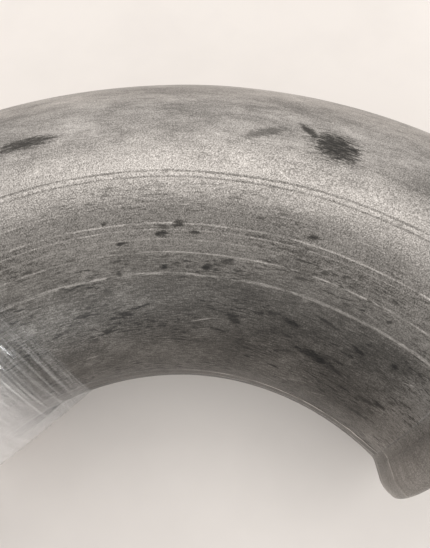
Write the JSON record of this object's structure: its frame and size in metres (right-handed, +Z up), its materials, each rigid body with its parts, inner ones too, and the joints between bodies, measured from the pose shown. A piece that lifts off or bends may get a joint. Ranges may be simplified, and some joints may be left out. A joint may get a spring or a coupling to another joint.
{
  "type": "pipe elbow",
  "caption": "Lined quarter-turn steel delivery elbow of long radius, with raised clamp collars, hard wear rings and stretch film wound over one end.",
  "frame": {"origin": "middle of the part's box, at floor level, with the elbow lying on its side", "axes": "+Z up and square to the bend plane; the outlet mouth faces -Y and the inlet mouth, which carries the film, faces -X; the outside of the bend is towards +X and +Y"},
  "size_m": [0.2868, 0.2872, 0.1535],
  "materials": {
    "blasted_steel": "shot-blasted mild steel with drag lines along the bend, dull grey with dark stains",
    "ground_weld": "weld cap ground flush and blended",
    "hard_liner": "quenched hard steel, dark scale",
    "turned_steel": "turned and blasted, fine lines round the collar",
    "hard_ring": "ground hard steel, satin",
    "stretch_film": "clear glossy stretch film with fine wrinkles"
  },
  "bodies": {
    "root": {"upper_half_shell": "blasted_steel", "lower_half_shell": "blasted_steel", "intrados_seam_weld": "ground_weld", "extrados_seam_weld": "ground_weld", "wear_liner": "hard_liner", "inlet_girth_weld": "ground_weld", "outlet_girth_weld": "ground_weld", "inlet_collar": "turned_steel", "outlet_collar": "turned_steel", "inlet_wear_ring": "hard_ring", "outlet_wear_ring": "hard_ring", "film_wrap": "stretch_film"}
  },
  "joints": []
}
